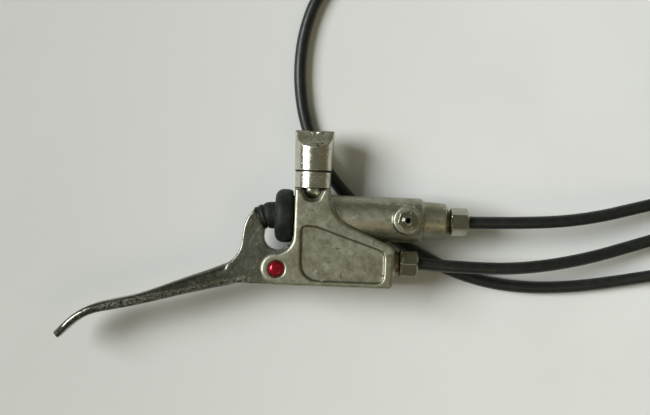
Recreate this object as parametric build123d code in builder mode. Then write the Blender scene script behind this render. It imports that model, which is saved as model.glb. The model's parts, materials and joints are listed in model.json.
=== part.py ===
"""Hydraulic bicycle brake lever: a cast master cylinder with its lever, boot and two hoses, on a bench.

The origin is on the handlebar's axis, at the middle of the clamp. +X runs along the cylinder towards the
hoses, +Y points from the lever to the handlebar, and +Z is up from the bench. Sizes are in millimetres.
"""
import os
from math import cos, pi, radians, sin, tan

from build123d import *

os.makedirs("parts", exist_ok=True)

# Driving dimensions. Places are counted from the lever's pivot, on the mid-plane of the casting.
PIVOT = (-13.3, -59.3, -12.6)  # the pivot, seen from the handlebar's axis
BAR_R = 11.1                   # 22.2 mm handlebar
BENCH_DROP = 17.0              # bench below the mid-plane
COLUMN_X = 13.3                # clamp column
BORE_Y = 21.2                  # cylinder axis
PORT_Y = 3.7                   # lower hose port
BLEED_X = 51.5                 # bleed screw, on the cylinder
FRONT_Z = 10.0                 # front face of the plate
BACK_Z = -8.5                  # back face of the plate
SLOT_HALF = 5.0                # half the slot that the lever's hub turns in
HUB_HALF = 4.65                # half the hub's thickness
PIVOT_R = 2.95                 # pivot bolt's shank
BUSH_R = 4.0                   # lever bush, outside
BARREL_R = 9.0
BARREL_LEFT = 6.3              # open face of the barrel
BARREL_RIGHT = 58.0
COLLAR_RIGHT = 67.5
SPIGOT_LEFT = 1.5              # spigot that the boot cap grips
SPIGOT_R = 8.2
BORE_R = 5.0
MOUTH_R = 6.5                  # counterbore at the mouth of the cylinder
MOUTH_DEPTH = 4.1
BORE_END = 48.0
COLUMN_FOOT = 32.5             # top of the casting, under the spacer
SADDLE_FOOT = 39.5             # underside of the clamp saddle
SADDLE_TOP = 55.9
THREAD_R = 4.3                 # hose nuts
HEX_R = 10.0 / 3 ** 0.5        # circumradius of a hexagon 10 mm across flats
HOSE_R = 2.5
HOSE_BORE_R = 1.2
FIT = 0.05                     # radial clearance of a turning fit
GAP = 0.1                      # clearance between faces that slide

FLAT = Plane(origin=PIVOT)                                         # looks down the pivot's axis
ACROSS = Plane(origin=PIVOT, x_dir=(0, 1, 0), z_dir=(1, 0, 0))     # looks along the cylinder
UP = Plane(origin=PIVOT, x_dir=(1, 0, 0), z_dir=(0, 1, 0))         # looks along the column


def save(piece, label):
    """Labels a finished piece and writes it."""
    piece.part.label = label
    export_step(piece.part, f"parts/{label}.step")


def at(x, y, z=0.0):
    """A place counted from the pivot, as a place in the part's frame."""
    return Vector(PIVOT[0] + x, PIVOT[1] + y, PIVOT[2] + z)


def round_edge(builder, place):
    """The round edge that is nearest to a place."""
    return builder.edges().filter_by(GeomType.CIRCLE).sort_by_distance(place)[0]


# ---------------------------------------------------------------- body casting
MOUTH_END = SPIGOT_LEFT + MOUTH_DEPTH
CIRCLIP_X = SPIGOT_LEFT + 2.0          # left side of the circlip
PORT_FACE = 47.6                       # face of the lower hose port
GALLERY_X = 37.5                       # drilling that joins the cylinder and the lower port
CAP_R = 3.45                           # pocket for the pivot cap
CAP_POCKET = 2.6
BOSS_Z = 9.9                           # face of the bleed screw's boss
PANEL_Z = FRONT_Z - 0.9                # floor of the shallow panel

with BuildPart() as body_casting:
    with BuildSketch(FLAT.offset(BACK_Z)):
        with BuildLine():
            bottom = Line((0, -6.4), (46.3, -6.4))
            right = Line(bottom @ 1, (46.9, 10.1))
            slope = Line(right @ 1, (29.0, 17.8))
            shoulder = ThreePointArc(slope @ 1, (23.6, 21.9), (20.9, COLUMN_FOOT))
            top = Line(shoulder @ 1, (BARREL_LEFT, COLUMN_FOOT))
            left = Line(top @ 1, (BARREL_LEFT, 13.1))
            neck = ThreePointArc(left @ 1, (4.5, 8.6), (0.6, 6.4))
            ThreePointArc(neck @ 1, (-6.4, 0), bottom @ 0)
        make_face()
    extrude(amount=FRONT_Z - BACK_Z)
    corner = body_casting.edges().filter_by(Axis.Z).sort_by_distance(at(46.3, -6.4))[0]
    fillet(corner, 1.5)
    corner = body_casting.edges().filter_by(Axis.Z).sort_by_distance(at(46.9, 10.1))[0]
    fillet(corner, 2.5)
    fillet(body_casting.edges().group_by(Axis.Z)[-1], 1.2)
    fillet(body_casting.edges().group_by(Axis.Z)[0], 0.8)
    # Cylinder barrel, its collar and the spigot for the boot
    with BuildSketch(ACROSS.offset(BARREL_LEFT)):
        with Locations((BORE_Y, 0)):
            Circle(BARREL_R)
    extrude(amount=BARREL_RIGHT - BARREL_LEFT)
    fillet(round_edge(body_casting, at(BARREL_RIGHT, BORE_Y)), 1.2)
    for x, radius in ((BARREL_RIGHT - 1, 7.95), (COLLAR_RIGHT, 7.2)):
        with BuildSketch(ACROSS.offset(x)):
            with Locations((BORE_Y, 0)):
                Circle(radius)
    loft()
    chamfer(round_edge(body_casting, at(COLLAR_RIGHT, BORE_Y)), 0.6)
    with BuildSketch(ACROSS.offset(SPIGOT_LEFT)):
        with Locations((BORE_Y, 0)):
            Circle(SPIGOT_R)
    extrude(amount=BARREL_LEFT - SPIGOT_LEFT + 1)
    # Bosses of the bleed screw and of the lower port
    with BuildSketch(FLAT.offset(4)):
        with Locations((BLEED_X, BORE_Y)):
            Circle(5.7)
    extrude(amount=BOSS_Z - 4)
    fillet(round_edge(body_casting, at(BLEED_X, BORE_Y, BOSS_Z)), 0.7)
    with BuildSketch(ACROSS.offset(40)):
        with Locations((PORT_Y, 0)):
            Circle(5.2)
    extrude(amount=PORT_FACE - 40)
    # Slot that the lever's hub turns in, open to the left and below
    with BuildSketch(FLAT.offset(-SLOT_HALF)):
        Circle(7.3)
        with Locations((-5.8, 5.6)):
            Rectangle(28.4, 11.2)
        with Locations((-5.8, -6)):
            Rectangle(17.6, 12)
    extrude(amount=2 * SLOT_HALF, mode=Mode.SUBTRACT)
    # Pivot hole and the pocket of its cap
    with BuildSketch(FLAT.offset(BACK_Z - 1)):
        Circle(PIVOT_R + FIT)
    extrude(amount=FRONT_Z - BACK_Z + 2, mode=Mode.SUBTRACT)
    with BuildSketch(FLAT.offset(FRONT_Z + 1)):
        Circle(CAP_R)
    extrude(amount=-CAP_POCKET - 1, mode=Mode.SUBTRACT)
    # Cylinder: mouth, circlip groove, bore, outlet and upper port
    for x, end, radius in (
        (SPIGOT_LEFT - 1, MOUTH_END, MOUTH_R),
        (CIRCLIP_X - FIT, CIRCLIP_X + 1.1, MOUTH_R + 0.6),
        (MOUTH_END - 1, BORE_END, BORE_R),
        (BORE_END - 1, 62.0, 1.5),
        (60.0, COLLAR_RIGHT + 1, THREAD_R + FIT),
    ):
        with BuildSketch(ACROSS.offset(x)):
            with Locations((BORE_Y, 0)):
                Circle(radius)
        extrude(amount=end - x, mode=Mode.SUBTRACT)
    # Lower port and its gallery, drilled from the bottom edge
    for x, end, radius in ((36.0, 42.0, 1.5), (40.0, PORT_FACE + 1, THREAD_R + FIT)):
        with BuildSketch(ACROSS.offset(x)):
            with Locations((PORT_Y, 0)):
                Circle(radius)
        extrude(amount=end - x, mode=Mode.SUBTRACT)
    for y, end, radius in ((-5, BORE_Y - 4, 1.2), (-7, -2.4, 2.4)):
        with BuildSketch(UP.offset(y)):
            with Locations((GALLERY_X, 0)):
                Circle(radius)
        extrude(amount=end - y, mode=Mode.SUBTRACT)
    # Bleed drilling and thread
    for z, end, radius in ((0, 6, 1.0), (4.5, 11, 2.45)):
        with BuildSketch(FLAT.offset(z)):
            with Locations((BLEED_X, BORE_Y)):
                Circle(radius)
        extrude(amount=end - z, mode=Mode.SUBTRACT)
    # Clamp bolt: its hole, and a pocket open to the front
    with BuildSketch(UP.offset(COLUMN_FOOT - 4)):
        with Locations((COLUMN_X, 0)):
            Circle(2.6)
    extrude(amount=5, mode=Mode.SUBTRACT)
    with BuildSketch(FLAT.offset(-4.8)):
        with BuildLine():
            mouth = Line((COLUMN_X - 5.6, COLUMN_FOOT + 1), (COLUMN_X + 5.6, COLUMN_FOOT + 1))
            side = Line(mouth @ 1, (COLUMN_X + 3.2, 28.2))
            foot = ThreePointArc(side @ 1, (COLUMN_X, 27.2), (COLUMN_X - 3.2, 28.2))
            Line(foot @ 1, mouth @ 0)
        make_face()
    extrude(amount=FRONT_Z + 6, mode=Mode.SUBTRACT)
    # Shallow panel in the front face, with soft edges above and below its wall
    panel_middle = at(25, 5, PANEL_Z)
    rim = []
    with BuildSketch(FLAT.offset(PANEL_Z)):
        with BuildLine():
            FilletPolyline(
                (9.2, 17.8), (15.2, 17.4), (43.0, 8.2), (43.0, -4.4), (9.6, -4.4),
                radius=[2.4, 3.0, 4.0, 3.0, 7.0], close=True,
            )
        make_face()
    extrude(amount=3, mode=Mode.SUBTRACT)
    floor_edges = body_casting.faces().filter_by(Axis.Z).sort_by_distance(panel_middle)[0].edges()
    face_z = PIVOT[2] + FRONT_Z
    for face in body_casting.faces():
        if set(face.edges()) & set(floor_edges):
            rim += face.edges().filter_by_position(Axis.Z, face_z - GAP, face_z + GAP)
    fillet(rim, 0.45)
    fillet(body_casting.faces().filter_by(Axis.Z).sort_by_distance(panel_middle)[0].edges(), 0.35)
save(body_casting, "body_casting")


# ---------------------------------------------------------------- clamp column
def column(foot, top, foot_r, top_r, bore_r):
    """A turned piece on the column's axis, with a hole for the clamp bolt."""
    with BuildPart() as piece:
        for y, radius in ((foot, foot_r), (top, top_r)):
            with BuildSketch(UP.offset(y)):
                with Locations((COLUMN_X, 0)):
                    Circle(radius)
        loft()
        with BuildSketch(UP.offset(foot - 1)):
            with Locations((COLUMN_X, 0)):
                Circle(bore_r)
        extrude(amount=top - foot + 2, mode=Mode.SUBTRACT)
    return piece


BOLT_R = 2.5                   # clamp bolt
HEAD_TOP = COLUMN_FOOT - 4.3   # its head's domed end
WASHER_FOOT = COLUMN_FOOT - 0.8
BOLT_END = 49.0                # end of the bolt, just below the scoop for the handlebar

with BuildPart() as column_spacer:
    add(column(COLUMN_FOOT, SADDLE_FOOT, 7.3, 7.3, BOLT_R + 0.1))
    fillet(column_spacer.edges().filter_by(GeomType.CIRCLE).group_by(SortBy.RADIUS)[-1], 0.35)
save(column_spacer, "column_spacer")

with BuildPart() as clamp_saddle:
    add(column(SADDLE_FOOT, SADDLE_TOP, 7.55, 7.95, BOLT_R + 0.1))
    fillet(round_edge(clamp_saddle, at(COLUMN_X, SADDLE_FOOT, 7.5)), 0.35)
    # Scoop for the handlebar
    with BuildSketch(Plane(origin=(-12, 0, 0), x_dir=(0, 1, 0), z_dir=(1, 0, 0))):
        Circle(BAR_R)
    extrude(amount=24, mode=Mode.SUBTRACT)
save(clamp_saddle, "clamp_saddle")

with BuildPart() as clamp_washer:
    with BuildSketch(UP.offset(WASHER_FOOT)):
        with Locations((COLUMN_X, 0)):
            Circle(4.3)
            Circle(BOLT_R + 0.1, mode=Mode.SUBTRACT)
    extrude(amount=COLUMN_FOOT - WASHER_FOOT)
save(clamp_washer, "clamp_washer")

with BuildPart() as clamp_bolt:
    with BuildSketch(Plane(origin=at(COLUMN_X, 0), x_dir=(1, 0, 0), z_dir=(0, 0, 1))):
        with BuildLine():
            end = Line((0, HEAD_TOP), (2.2, HEAD_TOP))
            dome = ThreePointArc(end @ 1, (3.7, HEAD_TOP + 1.3), (4.4, HEAD_TOP + 3.2))
            Polyline(
                dome @ 1, (4.4, WASHER_FOOT), (BOLT_R, WASHER_FOOT), (BOLT_R, BOLT_END - 0.6),
                (BOLT_R - 0.6, BOLT_END), (0, BOLT_END), (0, HEAD_TOP),
            )
        make_face()
    revolve(axis=Axis(at(COLUMN_X, 0), (0, 1, 0)))
save(clamp_bolt, "clamp_bolt")

# ---------------------------------------------------------------- lever and its pivot
HORN_BALL = (-6.2, 20.6)       # centre of the socket in the horn's nose
NOSE_TURN = 29.0               # the nose points this far above +X, in degrees
NOSE = Plane(
    origin=at(-7.6, 19.8),
    x_dir=(-sin(radians(NOSE_TURN)), cos(radians(NOSE_TURN)), 0),
    z_dir=(cos(radians(NOSE_TURN)), sin(radians(NOSE_TURN)), 0),
)
NOSE_R = 3.2
NOSE_LENGTH = 1.9
BALL_R = 2.0                   # balls at the pushrod's ends
SOCKET_R = BALL_R + 0.3
SOCKET_DEPTH = 2.7
# Sections of the blade from root to tip: place, slope in degrees, thickness and width
BLADE = (
    (-17.0, -2.2, 24, 8.9, 9.2),
    (-24.8, -4.9, 21, 8.0, 10.0),
    (-33.3, -7.5, 18, 6.8, 11.2),
    (-44.4, -11.1, 17, 5.4, 12.4),
    (-55.7, -14.7, 15, 4.3, 13.0),
    (-66.6, -17.3, 16, 4.0, 13.0),
    (-74.0, -19.4, 23, 3.6, 12.6),
    (-80.2, -22.9, 36, 3.2, 11.4),
    (-85.0, -27.2, 44, 3.1, 9.8),
    (-88.4, -30.6, 46, 2.9, 8.2),
)

BLADE_ROUND = 0.4              # radius of the blade's edges, as a share of its thickness

with BuildPart() as lever:
    # Hub, and the horn that pushes the piston
    with BuildSketch(FLAT.offset(-HUB_HALF)):
        with BuildLine():
            back = Spline(
                (-20.5, 1.1), (-16.9, 4.1), (-14.9, 8.0), (-14.1, 14.4), (-12.6, 19.6), (-9.8, 23.5)
            )
            tip = Line(back @ 1, (-5.5, 15.9))
            drop = Line(tip @ 1, (-5.52, 14.15))
            notch = ThreePointArc(drop @ 1, (-2.15, 7.68), (3.96, 9.43))
            brow = Polyline(notch @ 1, (5.0, 9.5), (6.3, 7.2), (6.4, 0))
            heel = ThreePointArc(brow @ 1, (4.56, -4.56), (0, -6.45))
            Polyline(heel @ 1, (-17.5, -6.5), (-20.5, -7.2), back @ 0)
        make_face()
    extrude(amount=2 * HUB_HALF)
    fillet(lever.edges().group_by(Axis.Z)[-1].filter_by_position(Axis.X, -60, PIVOT[0] - 7), 0.6)
    with BuildSketch(NOSE.offset(-2)):
        Circle(NOSE_R)
    extrude(amount=NOSE_LENGTH + 2)
    # Blade
    for x, y, slope_deg, thick, wide in BLADE:
        turn = radians(slope_deg)
        section = Plane(origin=at(x, y), x_dir=(0, 0, 1), z_dir=(-cos(turn), -sin(turn), 0))
        with BuildSketch(section):
            RectangleRounded(wide, thick, BLADE_ROUND * thick)
    loft()
    # Bore for the bush, and the socket that holds the pushrod
    with BuildSketch(FLAT.offset(-HUB_HALF - 1)):
        Circle(BUSH_R)
    extrude(amount=2 * HUB_HALF + 2, mode=Mode.SUBTRACT)
    with BuildSketch(NOSE.offset(NOSE_LENGTH - SOCKET_DEPTH)):
        Circle(SOCKET_R)
    extrude(amount=SOCKET_DEPTH + 1, mode=Mode.SUBTRACT)
save(lever, "lever")


def ring(plane, inner_r, outer_r, length):
    """A plain ring that stands on a plane."""
    with BuildPart() as piece:
        with BuildSketch(plane):
            Circle(outer_r)
            Circle(inner_r, mode=Mode.SUBTRACT)
        extrude(amount=length)
    return piece


save(ring(FLAT.offset(-HUB_HALF), PIVOT_R + FIT, BUSH_R, 2 * HUB_HALF), "lever_bush")

SHIM = SLOT_HALF - HUB_HALF - GAP
with BuildPart() as pivot_shims:
    add(ring(FLAT.offset(HUB_HALF + GAP), PIVOT_R + FIT, 5.6, SHIM))
    add(ring(FLAT.offset(-SLOT_HALF), PIVOT_R + FIT, 5.6, SHIM))
save(pivot_shims, "pivot_shims")

CAP_SEAT = FRONT_Z - CAP_POCKET
HEAD_THICK = 0.9
NUT_THICK = 4.5
with BuildPart() as pivot_bolt:
    for z, end, radius in (
        (CAP_SEAT, CAP_SEAT + HEAD_THICK, 3.3), (BACK_Z, CAP_SEAT, PIVOT_R), (-BENCH_DROP, BACK_Z, 2.5),
    ):
        with BuildSketch(FLAT.offset(z)):
            Circle(radius)
        extrude(amount=end - z)
    fillet(pivot_bolt.edges().group_by(Axis.Z)[0], 0.5)
save(pivot_bolt, "pivot_bolt")

with BuildPart() as pivot_cap:
    with BuildSketch(FLAT.offset(CAP_SEAT + HEAD_THICK)):
        Circle(CAP_R - 0.3)
    extrude(amount=2.4)
    fillet(pivot_cap.edges().group_by(Axis.Z)[-1], 1.7)
save(pivot_cap, "pivot_cap")


def hexagon(plane, length, turn=0.0):
    """A hexagon bar with the corners of its outer end chamfered; the plane's normal points to that end."""
    with BuildPart() as blank:
        with BuildSketch(plane):
            Circle(HEX_R + 0.02)
        extrude(amount=length)
        chamfer(blank.faces().sort_by(Axis(plane.origin, plane.z_dir))[-1].edges(), 0.45, 0.9)
    with BuildPart() as bar:
        with BuildSketch(plane):
            RegularPolygon(HEX_R, 6, rotation=turn)
        extrude(amount=length)
        add(blank, mode=Mode.INTERSECT)
    return bar


with BuildPart() as pivot_nut:
    add(hexagon(Plane(origin=at(0, 0, BACK_Z), x_dir=(1, 0, 0), z_dir=(0, 0, -1)), NUT_THICK))
    with BuildSketch(FLAT.offset(BACK_Z)):
        Circle(2.5)
    extrude(amount=-NUT_THICK, mode=Mode.SUBTRACT)
save(pivot_nut, "pivot_nut")


# ---------------------------------------------------------------- boot
CAP_LEFT = -1.4
CAP_RIGHT = 5.65
BOOT_R = 10.85

with BuildPart() as boot_cap:
    with BuildSketch(ACROSS.offset(CAP_LEFT)):
        with Locations((BORE_Y, 0)):
            Circle(BOOT_R)
    extrude(amount=CAP_RIGHT - CAP_LEFT)
    fillet(boot_cap.edges().filter_by(GeomType.CIRCLE).sort_by(Axis.X)[0], 2.2)
    fillet(boot_cap.edges().filter_by(GeomType.CIRCLE).sort_by(Axis.X)[-1], 1.0)
    for x, end, radius in ((CAP_LEFT - 1, SPIGOT_LEFT + 1, 5.0), (SPIGOT_LEFT, CAP_RIGHT + 1, SPIGOT_R)):
        with BuildSketch(ACROSS.offset(x)):
            with Locations((BORE_Y, 0)):
                Circle(radius)
        extrude(amount=end - x, mode=Mode.SUBTRACT)
save(boot_cap, "boot_cap")

# Bellows: place, turn in degrees, outer and inner radius of each section, from the horn to the cap
BELLOWS = (
    (-7.35, 19.95, 29, 4.3, 3.35),
    (-6.6, 20.3, 28, 4.95, 3.35),
    (-5.6, 20.8, 24, 4.1, 3.5),
    (-4.5, 21.0, 18, 5.25, 4.3),
    (-3.2, 21.15, 10, 4.2, 3.6),
    (CAP_LEFT, 21.25, 0, 5.15, 4.3),
)

with BuildPart() as boot_bellows:
    for column_of_radii, mode in ((3, Mode.ADD), (4, Mode.SUBTRACT)):
        for section in BELLOWS:
            turn = radians(section[2])
            plane = Plane(
                origin=at(section[0], section[1]), x_dir=(0, 0, 1), z_dir=(cos(turn), sin(turn), 0)
            )
            with BuildSketch(plane):
                Circle(section[column_of_radii])
        loft(ruled=True, mode=mode)
save(boot_bellows, "boot_bellows")

# ---------------------------------------------------------------- inside the cylinder
PISTON_LEFT = MOUTH_END + GAP
SEAT_X = 12.0                  # ball seat in the piston
PISTON_RIGHT = 28.0
PISTON_R = BORE_R - FIT
CUP_RIGHT = PISTON_RIGHT + 3.2
RETAINER_RIGHT = CUP_RIGHT + 1.6
GROOVE = (16.0, 18.6)          # groove of the secondary cup
GROOVE_R = 3.4


def turned(spans):
    """A turned piece on the cylinder's axis: each span is its start, end and radius."""
    with BuildPart() as piece:
        for x, end, radius in spans:
            with BuildSketch(ACROSS.offset(x)):
                with Locations((BORE_Y, 0)):
                    Circle(radius)
            extrude(amount=end - x)
    return piece


with BuildPart() as piston:
    add(turned((
        (PISTON_LEFT, GROOVE[0], PISTON_R), (GROOVE[0], GROOVE[1], GROOVE_R),
        (GROOVE[1], PISTON_RIGHT, PISTON_R),
    )))
    add(turned(((PISTON_LEFT - 1, SEAT_X, 3.0),)), mode=Mode.SUBTRACT)
    with Locations(at(SEAT_X, BORE_Y)):
        Sphere(BALL_R + FIT, mode=Mode.SUBTRACT)
save(piston, "piston")

with BuildPart() as secondary_cup:
    add(turned(((GROOVE[0], GROOVE[1], PISTON_R),)))
    add(turned(((GROOVE[0], GROOVE[1], GROOVE_R),)), mode=Mode.SUBTRACT)
save(secondary_cup, "secondary_cup")

with BuildPart() as primary_cup:
    add(turned(((PISTON_RIGHT, CUP_RIGHT, PISTON_R),)))
    add(turned(((CUP_RIGHT - 1.6, CUP_RIGHT + 1, 3.6),)), mode=Mode.SUBTRACT)
save(primary_cup, "primary_cup")

save(
    turned(((CUP_RIGHT - 1.6, RETAINER_RIGHT, 3.5), (RETAINER_RIGHT, RETAINER_RIGHT + 1.6, 2.6))),
    "spring_seat",
)

WIRE_R = 0.35
SPRING_R = 3.2
SPRING_LENGTH = BORE_END - RETAINER_RIGHT - 2 * WIRE_R - 2 * GAP
COILS = 6
with BuildPart() as return_spring:
    with BuildLine() as coil:
        Helix(
            pitch=SPRING_LENGTH / COILS, height=SPRING_LENGTH, radius=SPRING_R,
            center=at(RETAINER_RIGHT + WIRE_R + GAP, BORE_Y), direction=(1, 0, 0),
        )
    with BuildSketch(Plane(origin=coil.line @ 0, z_dir=coil.line % 0)):
        Circle(WIRE_R)
    sweep(is_frenet=True)
save(return_spring, "return_spring")

with BuildPart() as stop_washer:
    add(turned(((MOUTH_END - 1, MOUTH_END, MOUTH_R - FIT),)))
    add(turned(((MOUTH_END - 2, MOUTH_END + 1, 3.2),)), mode=Mode.SUBTRACT)
save(stop_washer, "stop_washer")

with BuildPart() as circlip:
    add(turned(((CIRCLIP_X, MOUTH_END - 1, MOUTH_R + 0.5),)))
    add(turned(((CIRCLIP_X - 1, MOUTH_END, MOUTH_R - 0.9),)), mode=Mode.SUBTRACT)
    with Locations(at(CIRCLIP_X, BORE_Y - MOUTH_R)):
        Box(6, 5, 4, mode=Mode.SUBTRACT)
save(circlip, "circlip")

ROD_R = 1.4
rod_run = at(SEAT_X, BORE_Y) - at(*HORN_BALL)
rod_side = Plane(origin=at(*HORN_BALL), x_dir=rod_run.normalized(), z_dir=(0, 0, 1))
neck_in = (BALL_R ** 2 - ROD_R ** 2) ** 0.5      # where the rod leaves each ball
with BuildPart() as pushrod:
    with BuildSketch(rod_side):
        with BuildLine():
            near = ThreePointArc((-BALL_R, 0), (0, BALL_R), (neck_in, ROD_R))
            rod = Line(near @ 1, (rod_run.length - neck_in, ROD_R))
            far = ThreePointArc(rod @ 1, (rod_run.length, BALL_R), (rod_run.length + BALL_R, 0))
            Line(far @ 1, near @ 0)
        make_face()
    revolve(axis=Axis(at(*HORN_BALL), rod_run))
save(pushrod, "pushrod")

with BuildPart() as gallery_plug:
    with BuildSketch(UP.offset(-6.2)):
        with Locations((GALLERY_X, 0)):
            Circle(2.4)
    extrude(amount=3.8)
save(gallery_plug, "gallery_plug")

# ---------------------------------------------------------------- bleed screw
HEX_TOP = 11.2                 # top of its hexagon, 7 mm across flats
with BuildPart() as bleed_screw:
    with BuildSketch(FLAT.offset(BOSS_Z)):
        with Locations((BLEED_X, BORE_Y)):
            RegularPolygon(7.0 / 3 ** 0.5, 6, rotation=15)
    extrude(amount=HEX_TOP - BOSS_Z)
    for z, end, radius in ((6.0, BOSS_Z, 2.4), (HEX_TOP, 14.2, 1.9)):
        with BuildSketch(FLAT.offset(z)):
            with Locations((BLEED_X, BORE_Y)):
                Circle(radius)
        extrude(amount=end - z)
    fillet(bleed_screw.edges().group_by(Axis.Z)[-1], 0.4)
    with BuildSketch(FLAT.offset(7)):
        with Locations((BLEED_X, BORE_Y)):
            Circle(1.0)
    extrude(amount=9, mode=Mode.SUBTRACT)
save(bleed_screw, "bleed_screw")

# ---------------------------------------------------------------- hose nuts, washers, olives and inserts
WASHER = 0.8
HEX_LENGTH = 6.6
NECK = 1.4
NUT_END = WASHER + NECK + HEX_LENGTH + 0.4     # outer end of a nut, from its port
THREAD_IN = 5.0                # thread inside the port
UPPER = (COLLAR_RIGHT, BORE_Y, 0.0)     # face of the port, its height and the hexagon's turn
LOWER = (PORT_FACE, PORT_Y, 30.0)


def hose_nut(port):
    """A hexagon nut with a threaded end, drilled for the hose's insert."""
    face, y, turn = port
    neck_end = face + WASHER + NECK
    with BuildPart() as nut:
        hex_plane = Plane(origin=at(neck_end, y), x_dir=(0, 1, 0), z_dir=(1, 0, 0))
        add(hexagon(hex_plane, HEX_LENGTH, turn))
        for x, end, radius in (
            (face - THREAD_IN, neck_end, THREAD_R), (neck_end - 0.5, neck_end + 0.1, 5.3),
            (neck_end + HEX_LENGTH, face + NUT_END, 4.2),
        ):
            with BuildSketch(ACROSS.offset(x)):
                with Locations((y, 0)):
                    Circle(radius)
            extrude(amount=end - x)
        with BuildSketch(ACROSS.offset(face - THREAD_IN - 1)):
            with Locations((y, 0)):
                Circle(HOSE_R - 0.1)
        extrude(amount=THREAD_IN + NUT_END + 2, mode=Mode.SUBTRACT)
    return nut


save(hose_nut(UPPER), "hose_nut_upper")
save(hose_nut(LOWER), "hose_nut_lower")

with BuildPart() as seal_washers:
    for face, y, _ in (UPPER, LOWER):
        with BuildSketch(ACROSS.offset(face)):
            with Locations((y, 0)):
                Circle(5.0)
                Circle(THREAD_R + FIT, mode=Mode.SUBTRACT)
        extrude(amount=WASHER)
save(seal_washers, "seal_washers")

OLIVE = 1.6
with BuildPart() as olives:
    for face, y, _ in (UPPER, LOWER):
        with BuildSketch(ACROSS.offset(face - THREAD_IN - OLIVE)):
            with Locations((y, 0)):
                Circle(3.6)
                Circle(HOSE_R - 0.1, mode=Mode.SUBTRACT)
        extrude(amount=OLIVE)
save(olives, "olives")

with BuildPart() as hose_inserts:
    for face, y, _ in (UPPER, LOWER):
        with BuildSketch(ACROSS.offset(face - THREAD_IN - OLIVE)):
            with Locations((y, 0)):
                Circle(HOSE_R - 0.1)
                Circle(HOSE_BORE_R, mode=Mode.SUBTRACT)
        extrude(amount=THREAD_IN + OLIVE + NUT_END)
save(hose_inserts, "hose_inserts")

# ---------------------------------------------------------------- hoses
# Each route's points are counted from the pivot, with their height above the bench.
REAR_ROUTE = (
    (UPPER[0] + NUT_END, BORE_Y, BENCH_DROP), (101, 21.7, 16.2), (126, 24.3, 12.6), (152, 31.2, 8.6),
    (172, 36.6, 7.6), (190, 41.6, 7.5),
)
FRONT_ROUTE = (
    (LOWER[0] + NUT_END, PORT_Y, BENCH_DROP), (76, 2.8, 16.8), (99, 3.0, 14.6), (125, 7.6, 11.0),
    (152, 16.2, 7.0), (182, 25.5, 3.2), (210, 38, 2.5), (229, 60, 2.5), (236, 88, 2.5), (226, 116, 2.5),
    (203, 134, 2.5), (172, 142, 2.5), (134, 145, 2.5), (92, 145, 2.5), (52, 141, 2.5), (26, 130, 2.5),
    (12, 114, 2.5), (6.4, 96, 2.5), (5.6, 77, 2.5), (9.2, 58, 2.5), (18, 40, 2.5), (34, 23.6, 2.5),
    (54, 9, 2.5), (76, -1.2, 2.5), (98, -5.2, 2.5), (122, -4.2, 2.5), (146, 0, 2.8), (161, 3.2, 5.05),
)
COIL_CENTRE = (190, 75)
COIL_OUT = 35.0
COIL_IN = 20.0
TAIL = ((204, 104.5, 2.5), (195, 109.6, 3.2), (186, 114.9, 5.05))    # leaves the coil for its fitting


def on_bench(point):
    """A route's point, as a place in the part's frame."""
    x, y, height = point
    return at(x, y, height - BENCH_DROP)


def hose(name, route):
    """A hose along straight runs joined by tangent arcs."""
    points = [on_bench(point) for point in route]
    radii = []
    for before, here, after in zip(points, points[1:], points[2:]):
        turn = radians((here - before).get_angle(after - here))
        radii.append(0.45 * min((here - before).length, (after - here).length) / tan(turn / 2))
    with BuildPart() as piece:
        with BuildLine() as run:
            FilletPolyline(*points, radius=radii)
        with BuildSketch(Plane(origin=run.line @ 0, z_dir=run.line % 0)):
            Circle(HOSE_R)
        sweep()
    length = run.wire().length
    volume = pi * HOSE_R ** 2 * length
    print(name, "length", round(length, 1), "volume", round(piece.part.volume / volume, 4))
    print(name, "radii", [round(radius) for radius in radii])
    return piece


def hose_fitting(end, before):
    """A hose's far end: a hexagon sleeve, a thread and a cone, level, on the line of the hose's last run."""
    run = on_bench(end) - on_bench(before)
    line = Vector(run.X, run.Y, 0).normalized()
    base = Plane(origin=on_bench(end), x_dir=(-line.Y, line.X, 0), z_dir=line)
    with BuildPart() as fitting:
        add(hexagon(base, 8))
        with BuildSketch(base.offset(8)):
            Circle(3.9)
        extrude(amount=7)
        with BuildSketch(base.offset(15)):
            Circle(3.0)
        extrude(amount=2.5, taper=25)
        with BuildSketch(base):
            Circle(1.0)
        extrude(amount=20, mode=Mode.SUBTRACT)
    return fitting


save(hose("rear_hose_tube", REAR_ROUTE), "rear_hose_tube")
save(hose("rear_hose_tail", TAIL), "rear_hose_tail")
save(hose("front_hose_tube", FRONT_ROUTE), "front_hose_tube")
with BuildPart() as rear_hose_coil:
    with BuildSketch(FLAT.offset(-BENCH_DROP)):
        with Locations(COIL_CENTRE):
            Circle(COIL_OUT)
            Circle(COIL_IN, mode=Mode.SUBTRACT)
    extrude(amount=4 * HOSE_R)
save(rear_hose_coil, "rear_hose_coil")
save(hose_fitting(TAIL[-1], TAIL[-2]), "rear_hose_fitting")
save(hose_fitting(FRONT_ROUTE[-1], FRONT_ROUTE[-2]), "front_hose_fitting")
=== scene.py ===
"""Studio scene of a hydraulic brake lever with its two hoses, on a pale bench.

Named places are in millimetres from the lever's pivot, and at() puts them into the frame's metres.
"""

import json
from math import cos, radians, sin, sqrt, tau

import bmesh
import bpy
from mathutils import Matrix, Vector, noise


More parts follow.
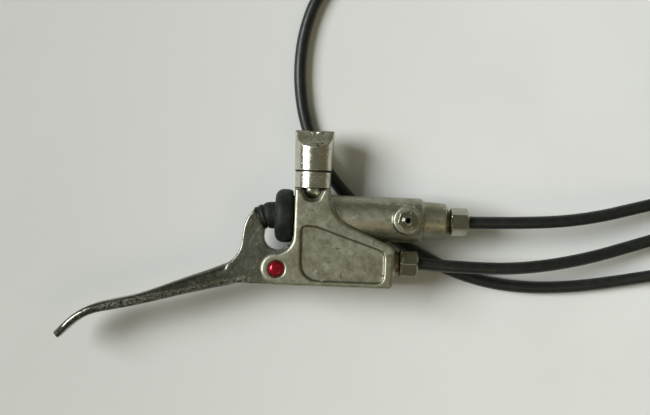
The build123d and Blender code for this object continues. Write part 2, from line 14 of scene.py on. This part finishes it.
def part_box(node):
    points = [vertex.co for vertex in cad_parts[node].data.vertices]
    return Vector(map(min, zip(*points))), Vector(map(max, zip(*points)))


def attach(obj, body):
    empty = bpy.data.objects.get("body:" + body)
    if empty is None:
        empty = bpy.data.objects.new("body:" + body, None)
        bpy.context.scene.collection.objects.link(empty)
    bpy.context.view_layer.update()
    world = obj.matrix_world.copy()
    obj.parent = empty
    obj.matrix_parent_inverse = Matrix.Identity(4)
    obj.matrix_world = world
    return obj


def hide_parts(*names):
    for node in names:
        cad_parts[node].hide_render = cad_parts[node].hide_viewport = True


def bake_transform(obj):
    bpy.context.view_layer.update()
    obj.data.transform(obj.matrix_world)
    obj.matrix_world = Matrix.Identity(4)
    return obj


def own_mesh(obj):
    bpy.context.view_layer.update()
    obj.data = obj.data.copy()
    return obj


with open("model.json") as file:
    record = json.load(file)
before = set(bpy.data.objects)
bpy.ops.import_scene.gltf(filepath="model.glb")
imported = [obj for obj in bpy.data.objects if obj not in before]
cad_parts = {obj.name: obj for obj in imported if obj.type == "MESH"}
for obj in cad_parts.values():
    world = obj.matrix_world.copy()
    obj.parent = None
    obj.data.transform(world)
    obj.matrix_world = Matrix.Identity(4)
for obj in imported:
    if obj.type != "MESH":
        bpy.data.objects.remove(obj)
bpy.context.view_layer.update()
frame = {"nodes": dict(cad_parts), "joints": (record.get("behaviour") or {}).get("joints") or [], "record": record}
NODES = frame["nodes"]
MM = 0.001

PIVOT = Vector(next(j for j in frame["joints"] if j["name"] == "lever_pivot")["pos_m"])
BENCH_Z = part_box("pivot_bolt")[0].z
BENCH_DROP = (PIVOT.z - BENCH_Z) / MM      # bench below the pivot's mid-plane, in millimetres
BORE_Y = 21.2                              # cylinder's axis, above the pivot
HOSE_R = 2.5
COLUMN_X = 13.3                            # middle of the clamp column
BLEED_X = 51.5                             # middle of the bleed screw


def at(x, y=0.0, z=0.0):
    """A place given in millimetres from the pivot, in the frame's metres."""
    return PIVOT + Vector((x, y, z)) * MM


# ---------------------------------------------------------------- materials
class Paint:
    """A procedural material, built socket by socket."""

    def __init__(self, name, **values):
        self.material = bpy.data.materials.new(name)
        self.material.use_nodes = True
        self.tree = self.material.node_tree
        self.shader = self.tree.nodes["Principled BSDF"]
        for socket, value in values.items():
            self.shader.inputs[socket.replace("_", " ")].default_value = value
        self.place = self.node("ShaderNodeTexCoord").outputs["Object"]

    def node(self, kind, settings=None, **sockets):
        """A node with its settings, and its inputs set or linked by name or number."""
        node = self.tree.nodes.new(kind)
        for key, value in (settings or {}).items():
            setattr(node, key, value)
        for key, value in sockets.items():
            numbered = key[0] == "i" and key[1:].isdigit()
            socket = node.inputs[int(key[1:]) if numbered else key.replace("_", " ")]
            if isinstance(value, bpy.types.NodeSocket):
                self.tree.links.new(value, socket)
            else:
                socket.default_value = value
        return node

    def noise(self, scale, detail=3.0, rough=0.55, stretch=None, turn=0.0):
        """Noise whose scale is in features per metre."""
        place = self.place
        if stretch:
            place = self.node("ShaderNodeMapping", Vector=place, Rotation=(0.0, 0.0, turn)).outputs[0]
            place = self.node("ShaderNodeMapping", Vector=place, Scale=stretch).outputs[0]
        made = self.node("ShaderNodeTexNoise", Vector=place, Scale=scale, Detail=detail, Roughness=rough)
        return made.outputs["Fac"]

    def remap(self, value, low, high, to_low=0.0, to_high=1.0):
        made = self.node("ShaderNodeMapRange", Value=value)
        made.interpolation_type = "SMOOTHSTEP"
        for key, number in (("From Min", low), ("From Max", high), ("To Min", to_low), ("To Max", to_high)):
            made.inputs[key].default_value = number
        return made.outputs["Result"]

    def math(self, operation, *operands):
        inputs = {f"i{n}": operand for n, operand in enumerate(operands)}
        return self.node("ShaderNodeMath", {"operation": operation}, **inputs).outputs[0]

    def product(self, a, b):
        return self.math("MULTIPLY", a, b)

    def total(self, a, b):
        return self.math("ADD", a, b)

    def difference(self, a, b):
        return self.math("SUBTRACT", a, b)

    def blend(self, amount, a, b):
        """A mix of two colours."""
        made = self.node("ShaderNodeMix", {"data_type": "RGBA"})
        for socket, value in ((made.inputs[0], amount), (made.inputs[6], a), (made.inputs[7], b)):
            if isinstance(value, bpy.types.NodeSocket):
                self.tree.links.new(value, socket)
            elif socket == made.inputs[0]:
                socket.default_value = value
            else:
                socket.default_value = (*value, 1.0)
        return made.outputs[2]

    def bump(self, height, depth, below=None):
        """Bump of a height map whose full range is depth metres, over the bump below it."""
        made = self.node("ShaderNodeBump", Height=height, Distance=depth, Strength=1.0)
        if below:
            self.tree.links.new(below, made.inputs["Normal"])
        return made.outputs[0]

    def wire(self, **sockets):
        for key, value in sockets.items():
            self.tree.links.new(value, self.shader.inputs[key.replace("_", " ")])
        return self.material


# dark grime for pits and hollows, also painted shade along the column's joints
GRIME_AND_JOINT_SHADE = (0.045, 0.038, 0.024)
RUBBED = (0.72, 0.70, 0.58)                # bare metal along worn edges
BLADE_SLOPE = 0.233                        # of the blade's middle line, which passes through BLADE_MIDDLE
BLADE_MIDDLE = (-11, -3.3)
DARKENS = (-6, -26)                        # the blade darkens between these places along X
FLECKS_BEGIN = (-8, -16)
FLECKS_FADE = (-74, -62)
DULLS = (-45, -14)
BLADE_FLECKS = (                           # size, least noise and colour: dark spots, then bright ones
    (1100, 0.50, (0.025, 0.026, 0.020)),
    (1700, 0.585, (0.62, 0.58, 0.44)),
)


def joint_painted_shade(paint, color, roughness, joints):
    """Painted shade in the gaps round the column, whose places along Y are given, in the dark grime colour."""
    y = paint.node("ShaderNodeSeparateXYZ", Vector=paint.place).outputs["Y"]
    for joint in joints:
        away = paint.math("ABSOLUTE", paint.difference(y, at(0, joint).y))
        # painted shade: a narrow dark band at each joint
        joint_shade = paint.remap(away, 0.0006, 0.0003, 0.0, 0.92)
        color = paint.blend(joint_shade, color, GRIME_AND_JOINT_SHADE)
        roughness = paint.total(roughness, paint.product(joint_shade, 0.4))
    return color, roughness


def blade_wear(paint, clean, color, roughness, normal):
    """The blade: darker than the hub, with flecks of lost chrome on the side below its middle line."""
    split = paint.node("ShaderNodeSeparateXYZ", Vector=paint.place)
    x, y = split.outputs["X"], split.outputs["Y"]

    def along(places, low=0.0, high=1.0):
        start, end = (at(place).x for place in places)
        return paint.remap(x, start, end, low, high)

    middle = at(*BLADE_MIDDLE)
    rise = paint.product(paint.difference(x, middle.x), BLADE_SLOPE)
    above = paint.difference(paint.difference(y, rise), middle.y)
    low_side = paint.remap(above, 0.0008, -0.0012)
    color = paint.blend(paint.product(along(DARKENS), 0.65), color, tuple(0.35 * c for c in clean))
    worn = paint.product(paint.product(low_side, along(FLECKS_BEGIN)), along(FLECKS_FADE, 0.1))
    for scale, least, fleck in BLADE_FLECKS:
        flecks = paint.product(paint.remap(paint.noise(scale, 3, 0.7), least, least + 0.03), worn)
        color = paint.blend(flecks, color, fleck)
        normal = paint.bump(flecks, 0.00004, below=normal)
    roughness = paint.total(roughness, paint.product(worn, 0.12))
    roughness = paint.total(roughness, along(DULLS, 0.0, 0.14))
    return color, roughness, normal


def worn_metal(name, clean, stained, rough, grain=1500, grain_depth=0.00002, stain_scale=90, mottle=0.22,
               pits=0.0, pit_scale=700, scratches=0.0, edges=0.0, joints=(), blade=False):
    """Metal with faint stains, grain, pits, fine scratches, grime in its hollows and wear along its edges."""
    paint = Paint(name, Metallic=1.0)
    stain = paint.product(paint.remap(paint.noise(stain_scale, 6, 0.7), 0.38, 0.66), 0.8)
    color = paint.blend(stain, clean, stained)
    fine = paint.noise(grain, 3, 0.7)
    color = paint.blend(paint.remap(fine, 0.35, 0.65, 0.0, mottle), color, tuple(0.55 * c for c in clean))
    roughness = paint.remap(paint.noise(stain_scale * 3, 5, 0.7), 0.3, 0.7, *rough)
    normal = paint.bump(fine, grain_depth)
    if scratches:
        for turn in (0.4, 2.1):
            lines = paint.remap(paint.noise(260, 2, 0.5, stretch=(0.12, 9.0, 1.0), turn=turn), 0.63, 0.68)
            roughness = paint.total(roughness, paint.product(lines, scratches))
            normal = paint.bump(lines, 0.00001, below=normal)
    if pits:
        spots = paint.remap(paint.noise(pit_scale, 4, 0.75), 0.70 - 0.10 * pits, 0.76 - 0.10 * pits)
        color = paint.blend(spots, color, GRIME_AND_JOINT_SHADE)
        roughness = paint.total(roughness, paint.product(spots, 0.3))
        normal = paint.bump(paint.difference(1.0, spots), 0.00008, below=normal)
    if edges:
        bend = paint.node("ShaderNodeNewGeometry").outputs["Pointiness"]
        color = paint.blend(paint.remap(bend, 0.495, 0.44, 0.0, 0.8 * edges), color, GRIME_AND_JOINT_SHADE)
        color = paint.blend(paint.remap(bend, 0.53, 0.60, 0.0, 0.5 * edges), color, RUBBED)
    # painted shade along the column's joints
    if joints:
        color, roughness = joint_painted_shade(paint, color, roughness, joints)
    if blade:
        color, roughness, normal = blade_wear(paint, clean, color, roughness, normal)
    return paint.wire(Base_Color=color, Roughness=roughness, Normal=normal)


def rubber(name, color, dusty, rough, grain=2500, depth=0.00001, **values):
    """Rubber or plastic with a little bloom and a moulded grain."""
    paint = Paint(name, **values)
    bloom = paint.remap(paint.noise(240, 5, 0.75), 0.45, 0.7)
    roughness = paint.remap(paint.noise(260, 3), 0.3, 0.7, *rough)
    return paint.wire(
        Base_Color=paint.blend(bloom, color, dusty),
        Roughness=roughness,
        Normal=paint.bump(paint.noise(grain, 2), depth),
    )


CAST = worn_metal("cast_aluminium", (0.46, 0.46, 0.37), (0.25, 0.24, 0.16), (0.36, 0.50), pits=0.7,
                  edges=1.2, grain=1500, grain_depth=0.00006, stain_scale=120, mottle=0.5)
SCOOP = worn_metal("scoop_aluminium", (0.58, 0.57, 0.46), (0.28, 0.26, 0.18), (0.36, 0.56), pits=1.2,
                   edges=1.0, grain=1100, grain_depth=0.00012, stain_scale=250, mottle=0.6, pit_scale=500)
# the polished column gets painted shade along its joints at 32.5 and 39.5 mm
POLISHED = worn_metal("polished_aluminium", (0.64, 0.64, 0.54), (0.44, 0.42, 0.31), (0.17, 0.26), pits=0.7,
                      grain=2200, grain_depth=0.000006, mottle=0.3, scratches=0.08, joints=(32.5, 39.5))
CHROME = worn_metal("lever_chrome", (0.29, 0.30, 0.25), (0.15, 0.145, 0.095), (0.13, 0.24), pits=1.1,
                    edges=0.9, grain=1800, grain_depth=0.00001, stain_scale=160, mottle=0.5, pit_scale=900,
                    scratches=0.05, blade=True)
PLATED = worn_metal("plated_steel", (0.46, 0.46, 0.38), (0.28, 0.27, 0.20), (0.14, 0.24), pits=0.5,
                    edges=1.0)
# dark steel for the nuts' necks: painted shade in the recess between the collar and the hexagon
NECK_SHADE = worn_metal("neck_painted_shade_steel", (0.14, 0.13, 0.09), (0.08, 0.07, 0.04), (0.4, 0.55), pits=0.6)
BRIGHT = worn_metal("bright_steel", (0.50, 0.50, 0.42), (0.28, 0.27, 0.19), (0.30, 0.44), pits=0.8,
                    mottle=0.5)
WIRE = worn_metal("spring_steel", (0.35, 0.35, 0.35), (0.22, 0.21, 0.20), (0.25, 0.35))
BRASS = worn_metal("brass", (0.26, 0.20, 0.11), (0.14, 0.10, 0.05), (0.32, 0.45), pits=0.3)
BOOT = rubber("boot_rubber", (0.007, 0.009, 0.007), (0.024, 0.030, 0.021), (0.48, 0.62),
              Specular_IOR_Level=0.26)
SEAL = rubber("seal_rubber", (0.02, 0.02, 0.02), (0.03, 0.03, 0.03), (0.5, 0.6))
HOSE = rubber("hose_black", (0.010, 0.012, 0.011), (0.020, 0.023, 0.020), (0.34, 0.46),
              grain=4000, depth=0.000006, Specular_IOR_Level=0.4)
NYLON = rubber("nylon", (0.66, 0.64, 0.56), (0.55, 0.52, 0.44), (0.4, 0.5))
RED = rubber("red_plastic", (0.50, 0.008, 0.03), (0.17, 0.003, 0.008), (0.16, 0.26), depth=0.000004,
             Metallic=0.7, Coat_Weight=0.3, Coat_Roughness=0.10)
BY_SLOT = {
    "cast_aluminium": CAST, "polished_aluminium": POLISHED, "lever_chrome": CHROME, "plated_steel": PLATED,
    "bright_steel": BRIGHT, "spring_steel": WIRE, "brass": BRASS, "red_plastic": RED, "boot_rubber": BOOT,
    "seal_rubber": SEAL, "hose_black": HOSE, "nylon": NYLON,
}
for part in frame["record"]["subparts"]:
    mesh = NODES[part["node"]].data
    mesh.materials.clear()
    mesh.materials.append(BY_SLOT[part["material_slot"]])


# ---------------------------------------------------------------- cast pieces
def take_mesh(piece):
    """Applies a piece's modifiers to its mesh."""
    made = bpy.data.meshes.new_from_object(piece.evaluated_get(bpy.context.evaluated_depsgraph_get()))
    piece.modifiers.clear()
    piece.data = made
    return made


def add_piece(name, mesh, material):
    """A new object in the scene, smooth shaded, with one material."""
    piece = bpy.data.objects.new(name, mesh)
    bpy.context.scene.collection.objects.link(piece)
    mesh.materials.clear()
    mesh.materials.append(material)
    mesh.shade_smooth()
    return piece


def roughen(piece, depth, size):
    """Moves a smooth-shaded mesh along its normals, by noise of a depth and a size in millimetres."""
    reach = depth * MM
    normals = [vertex.normal.copy() for vertex in piece.data.vertices]
    for vertex, normal in zip(piece.data.vertices, normals):
        vertex.co += normal * reach * noise.noise(vertex.co / (size * MM))
    piece.data.shade_smooth()


def softened(name, node, material, voxel, passes, worn=()):
    """A copy of a CAD node with the rounded edges of a casting, remeshed at voxel millimetres.

    Each worn place is a centre, its reach in millimetres and the passes of smoothing that it gets on top.
    """
    mesh = NODES[node].data.copy()
    piece = add_piece(name, mesh, material)
    piece.modifiers.new("skin", "REMESH").voxel_size = voxel * MM
    take_mesh(piece)
    rounds = [(None, passes)]
    for centre, reach, extra in worn:
        group = piece.vertex_groups.new(name=f"worn_{len(rounds)}")
        for vertex in piece.data.vertices:
            near = 1 - (vertex.co - centre).length / (reach * MM)
            if near > 0:
                group.add([vertex.index], min(1.0, 2 * near), "REPLACE")
        rounds.append((group.name, extra))
    for group_name, count in rounds:
        smooth = piece.modifiers.new("soften", "SMOOTH")
        smooth.factor = 0.5
        smooth.iterations = count
        if group_name:
            smooth.vertex_group = group_name
    take_mesh(piece)
    piece.vertex_groups.clear()
    roughen(piece, 0.02, 1.6)
    return piece


BOLT_Y = 29.5                              # the clamp bolt's head, in its pocket
POCKET_HALF_WIDTH = 5.9
POCKET_HALF_HEIGHT = 2.7
POCKET_BACK = -5.2
POCKET_FLOOR = 2.6                         # top of the dirt that fills the pocket round the bolt's head
casting = softened("casting_skin", "body_casting", CAST, 0.35, 2)
for vertex in casting.data.vertices:
    x, y, z = (vertex.co - at(COLUMN_X, BOLT_Y)) / MM
    if abs(x) < POCKET_HALF_WIDTH and abs(y) < POCKET_HALF_HEIGHT and POCKET_BACK < z < POCKET_FLOOR:
        vertex.co.z = at(0, 0, POCKET_FLOOR).z
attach(casting, "root")
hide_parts("body_casting")

BLADE_ROOT = (at(-20, -3), 9, 40)
BLADE_TIP = (at(-88.4, -30.6), 4, 14)
TIP_ROUND_FROM = -83.2                     # from here outwards the tip is rounded across the blade
TIP_ROUND = 5.6
TIP_NARROWING = 0.8                        # 1 would bring the tip to a point
blade = softened("lever_skin", "lever", CHROME, 0.3, 3, worn=(BLADE_ROOT, BLADE_TIP))
for vertex in blade.data.vertices:
    past = (at(TIP_ROUND_FROM).x - vertex.co.x) / (TIP_ROUND * MM)
    if past > 0:
        vertex.co.z = PIVOT.z + (vertex.co.z - PIVOT.z) * sqrt(1 - TIP_NARROWING * min(past, 1.0) ** 2)
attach(blade, "lever")
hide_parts("lever")

SCOOP_REACH = 11.4                         # faces nearer than this to the bar's axis are the scoop's
saddle = softened("saddle_skin", "clamp_saddle", POLISHED, 0.25, 2)
saddle.data.materials.append(SCOOP)
for face in saddle.data.polygons:
    face.material_index = int(Vector((0, face.center.y, face.center.z)).length < SCOOP_REACH * MM)
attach(saddle, "root")
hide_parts("clamp_saddle")

BLEED_HOLE_R = 1.12
nipple = softened("bleed_skin", "bleed_screw", PLATED, 0.12, 2)
nipple.data.materials.append(SEAL)
# faces inside the bleed hole get the dark seal rubber: painted shade in the hole
for face in nipple.data.polygons:
    face.material_index = int((face.center.xy - at(BLEED_X, BORE_Y).xy).length < BLEED_HOLE_R * MM)
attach(nipple, "root")
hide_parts("bleed_screw")

HEXAGON_LENGTH = 7.1                       # at each nut's outer end; the rest is its neck
for name in ("hose_nut_upper", "hose_nut_lower"):
    nut = softened(f"{name}_skin", name, PLATED, 0.2, 2)
    nut.data.materials.append(NECK_SHADE)
    neck_end = max(vertex.co.x for vertex in nut.data.vertices) - HEXAGON_LENGTH * MM
    # the neck's faces get the dark steel as painted shade
    for face in nut.data.polygons:
        face.material_index = int(face.center.x < neck_end)
    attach(nut, "root")
    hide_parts(name)

spring = add_piece("return_spring_skin", NODES["return_spring"].data.copy(), WIRE)
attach(spring, "root")
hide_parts("return_spring")
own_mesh(spring)


# ---------------------------------------------------------------- rubber boot
RING_POINTS = 64


def ring_loft(name, rings, material):
    """A closed tube wall through rings, each with its centre, the turn of its axis from +X and its radius."""
    mesh = bpy.data.meshes.new(name)
    loft = bmesh.new()
    loops = []
    for x, y, turn, radius in rings:
        side = Vector((-sin(radians(turn)), cos(radians(turn)), 0))
        loops.append([
            loft.verts.new(at(x, y) + (side * cos(a) + Vector((0, 0, 1)) * sin(a)) * radius * MM)
            for a in (tau * n / RING_POINTS for n in range(RING_POINTS))
        ])
    for here, after in zip(loops, loops[1:] + loops[:1]):
        for n in range(RING_POINTS):
            loft.faces.new((here[n], here[n - 1], after[n - 1], after[n]))
    bmesh.ops.recalc_face_normals(loft, faces=loft.faces)
    loft.to_mesh(mesh)
    loft.free()
    piece = add_piece(name, mesh, material)
    smooth = piece.modifiers.new("smooth", "SUBSURF")
    smooth.levels = smooth.render_levels = 1
    take_mesh(piece)
    roughen(piece, 0.05, 4)
    return piece


# Outline of the cap: places along the cylinder and radii, from the bellows round the rim to the spigot
CAP_OUTLINE = (
    (-1.45, 5.3), (-1.55, 6.4), (-1.5, 7.8), (-1.1, 9.3), (-0.2, 10.3), (1.0, 10.8), (2.6, 10.85),
    (4.3, 10.8), (5.0, 10.6), (5.5, 10.2), (5.65, 9.7), (5.65, 9.0), (5.6, 8.3), (4.5, 8.25),
    (2.0, 8.25), (1.6, 8.0), (1.55, 6.0), (1.5, 5.2), (0.0, 5.05), (-1.2, 5.1),
)
cap = ring_loft("boot_cap_skin", [(x, BORE_Y, 0, radius) for x, radius in CAP_OUTLINE], BOOT)
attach(cap, "root")
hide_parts("boot_cap")

# Rings of the bellows: centre, turn and radius, from the lip on the horn's nose to the cap, then back inside
LIP_TO_CAP = (
    (-7.9, 19.6, 29, 3.4), (-8.1, 19.5, 29, 4.2), (-8.0, 19.6, 28, 4.75), (-7.5, 19.85, 26, 4.95),
    (-7.1, 20.0, 24, 4.75), (-6.85, 20.15, 22, 4.7), (-6.4, 20.4, 20, 5.0), (-5.9, 20.65, 17, 5.0),
    (-5.5, 20.8, 15, 4.65), (-5.25, 20.9, 13, 4.6), (-4.9, 21.0, 11, 5.05), (-4.4, 21.1, 8, 5.35),
    (-3.6, 21.2, 5, 5.4), (-2.4, 21.2, 2, 5.4), (-1.6, 21.2, 0, 5.5), (-1.35, 21.2, 0, 5.6),
)
WALL = 0.8
LARGEST_INSIDE = 4.6
bellows_rings = [*LIP_TO_CAP, (-1.2, BORE_Y, 0, 4.9)]
bellows_rings += [
    (x, y, turn, min(radius - WALL, LARGEST_INSIDE)) for x, y, turn, radius in LIP_TO_CAP[:2:-1]
]
bellows = ring_loft("boot_bellows_skin", bellows_rings, BOOT)
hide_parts("boot_bellows")
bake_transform(bellows)


# ---------------------------------------------------------------- hoses
REAR_ROUTE = (
    (76.7, 21.2, 17), (101, 21.7, 16.2), (126, 24.3, 12.6), (152, 31.2, 8.6), (172, 36.6, 7.6),
)
FRONT_ROUTE = (
    (56.8, 3.7, 17), (76, 2.8, 16.8), (99, 3.0, 14.6), (125, 7.6, 11.0), (152, 16.2, 7.0), (182, 25.5, 3.2),
    (210, 38, 2.5), (229, 60, 2.5), (236, 88, 2.5), (226, 116, 2.5), (203, 134, 2.5), (172, 142, 2.5),
    (134, 145, 2.5), (92, 145, 2.5), (52, 141, 2.5), (26, 130, 2.5), (12, 114, 2.5), (6.4, 96, 2.5),
    (5.6, 77, 2.5), (9.2, 58, 2.5), (18, 40, 2.5), (34, 23.6, 2.5), (54, 9, 2.5), (76, -1.2, 2.5),
    (98, -5.2, 2.5), (122, -4.2, 2.5), (146, 0, 2.8), (161, 3.2, 5.05),
)
COIL_CENTRE = (190, 75)
COIL_RINGS = (32.4, 27.4, 22.4)            # radii of the coil's turns, outermost first
COIL_START = -75                           # where the hose runs into the coil, in degrees from +X
POINTS_PER_TURN = 16
LAST_POINTS = 4                            # of the last turn, which the tail leaves
TAIL = ((195, 109.6, 3.2), (186, 114.9, 5.05))


def on_bench(point):
    """A route's point: millimetres from the pivot, and its height above the bench."""
    x, y, height = point
    return at(x, y, height - BENCH_DROP)


def coil_points():
    """The rear hose's coil: turns inwards on the upper layer, then outwards on the lower one."""
    turns = [(radius, 3 * HOSE_R, POINTS_PER_TURN) for radius in COIL_RINGS]
    turns += [(radius, HOSE_R, POINTS_PER_TURN) for radius in COIL_RINGS[:0:-1]]
    turns.append((COIL_RINGS[0], HOSE_R, LAST_POINTS))
    points = []
    for radius, height, count in turns:
        for _ in range(count):
            angle = radians(COIL_START + len(points) * 360 / POINTS_PER_TURN)
            x = COIL_CENTRE[0] + radius * cos(angle)
            y = COIL_CENTRE[1] + radius * sin(angle)
            points.append((x, y, height))
    return points


def hose(name, points):
    """A hose as one smooth curve, with its route's points as control points."""
    curve = bpy.data.curves.new(name, "CURVE")
    curve.dimensions = "3D"
    spline = curve.splines.new("NURBS")
    spline.points.add(len(points) - 1)
    for knot, point in zip(spline.points, points):
        knot.co = (*on_bench(point), 1.0)
    spline.order_u = 3
    spline.use_endpoint_u = True
    spline.resolution_u = 8
    curve.bevel_depth = HOSE_R * MM
    curve.bevel_resolution = 8
    curve.use_fill_caps = True
    curve.materials.append(HOSE)
    piece = bpy.data.objects.new(name, curve)
    bpy.context.scene.collection.objects.link(piece)
    return piece


front = hose("front_hose", FRONT_ROUTE)
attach(front, "root")
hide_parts("front_hose_tube")
rear = hose("rear_hose", (*REAR_ROUTE, *coil_points(), *TAIL))
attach(rear, "root")
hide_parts("rear_hose_tube", "rear_hose_coil", "rear_hose_tail")


# ---------------------------------------------------------------- bench, light and camera
VIEW_CENTRE = at(18.5, 25.1)
VIEW_WIDTH = 0.2633                        # what the picture's width spans at the pivot's mid-plane
VIEW_ROLL = radians(2.2)
CAMERA_HEIGHT = 0.52
WINDOW_AZIMUTH = radians(169)
WINDOW_ELEVATION = radians(42)
WINDOW_DISTANCE = 6.0
LAMP_AZIMUTH = radians(-60)                # a weak warm lamp on the window's other side
LAMP_ELEVATION = radians(55)
LAMP_DISTANCE = 1.0
BENCH_HALF = 3.0


def bench():
    """Flat pale paper, with painted shade that makes it a little darker towards the left."""
    mesh = bpy.data.meshes.new("bench")
    corners = [(BENCH_HALF * x, BENCH_HALF * y, 0) for x, y in ((-1, -1), (1, -1), (1, 1), (-1, 1))]
    mesh.from_pydata(corners, [], [(0, 1, 2, 3)])
    piece = bpy.data.objects.new("bench", mesh)
    piece.location = (VIEW_CENTRE.x, VIEW_CENTRE.y, BENCH_Z)
    bpy.context.scene.collection.objects.link(piece)
    paper = Paint("bench_paper", Roughness=0.7)
    # painted shade: the paper's colour darkens towards the left
    painted_shade_across = paper.remap(paper.node("ShaderNodeSeparateXYZ", Vector=paper.place).outputs["X"], -0.2, 0.15)
    tint = paper.blend(painted_shade_across, (0.56, 0.565, 0.54), (0.82, 0.84, 0.82))
    tint = paper.blend(paper.remap(paper.noise(14, 4), 0.3, 0.7, 0.0, 0.25), tint, (0.66, 0.665, 0.64))
    mesh.materials.append(paper.wire(Base_Color=tint, Normal=paper.bump(paper.noise(900, 2), 0.00003)))


def area_light(name, azimuth, elevation, distance, side, power, color):
    """A soft square light that faces the view's centre."""
    data = bpy.data.lights.new(name, "AREA")
    data.shape = "RECTANGLE"
    data.size = data.size_y = side
    data.energy = power
    data.color = color
    lamp = bpy.data.objects.new(name, data)
    away = Vector((cos(azimuth) * cos(elevation), sin(azimuth) * cos(elevation), sin(elevation)))
    lamp.location = VIEW_CENTRE + away * distance
    lamp.rotation_euler = away.to_track_quat("Z", "Y").to_euler()
    bpy.context.scene.collection.objects.link(lamp)


def surroundings():
    """A dim warm room, lighter on the side away from the window, and with an even ceiling."""
    world = bpy.data.worlds.new("room")
    bpy.context.scene.world = world
    world.use_nodes = True
    tree = world.node_tree
    split = tree.nodes.new("ShaderNodeSeparateXYZ")
    tree.links.new(tree.nodes.new("ShaderNodeTexCoord").outputs["Generated"], split.inputs[0])
    ramps = []
    for axis, low, colors in (
        ("X", -1.0, ((0.0, (0.09, 0.095, 0.085)), (0.5, (0.12, 0.12, 0.09)), (1.0, (0.17, 0.145, 0.09)))),
        ("Z", 0.0, ((0.5, (0, 0, 0)), (0.9, (1, 1, 1)))),
    ):
        reach = tree.nodes.new("ShaderNodeMapRange")
        reach.inputs["From Min"].default_value = low
        tree.links.new(split.outputs[axis], reach.inputs["Value"])
        ramp = tree.nodes.new("ShaderNodeValToRGB")
        tree.links.new(reach.outputs["Result"], ramp.inputs[0])
        stops = ramp.color_ramp.elements
        while len(stops) < len(colors):
            stops.new(0.5)
        for stop, (place, color) in zip(stops, colors):
            stop.position = place
            stop.color = (*color, 1.0)
        ramps.append(ramp)
    mix = tree.nodes.new("ShaderNodeMix")
    mix.data_type = "RGBA"
    tree.links.new(ramps[1].outputs[0], mix.inputs[0])
    tree.links.new(ramps[0].outputs[0], mix.inputs[6])
    mix.inputs[7].default_value = (0.16, 0.16, 0.125, 1.0)
    tree.links.new(mix.outputs[2], tree.nodes["Background"].inputs["Color"])


def camera():
    """The photograph's view, straight down on the bench."""
    data = bpy.data.cameras.new("camera")
    data.sensor_width = 36.0
    data.lens = data.sensor_width * CAMERA_HEIGHT / VIEW_WIDTH
    data.clip_start = 0.01
    piece = bpy.data.objects.new("camera", data)
    piece.location = VIEW_CENTRE + Vector((0, 0, CAMERA_HEIGHT))
    piece.rotation_euler = (0, 0, VIEW_ROLL)
    bpy.context.scene.collection.objects.link(piece)
    bpy.context.scene.camera = piece


bench()
area_light("window", WINDOW_AZIMUTH, WINDOW_ELEVATION, WINDOW_DISTANCE, 2.9, 410, (0.97, 0.99, 1.0))
area_light("lamp", LAMP_AZIMUTH, LAMP_ELEVATION, LAMP_DISTANCE, 0.45, 0.7, (1.0, 0.80, 0.50))
surroundings()
camera()
bpy.context.scene.view_settings.view_transform = "Standard"
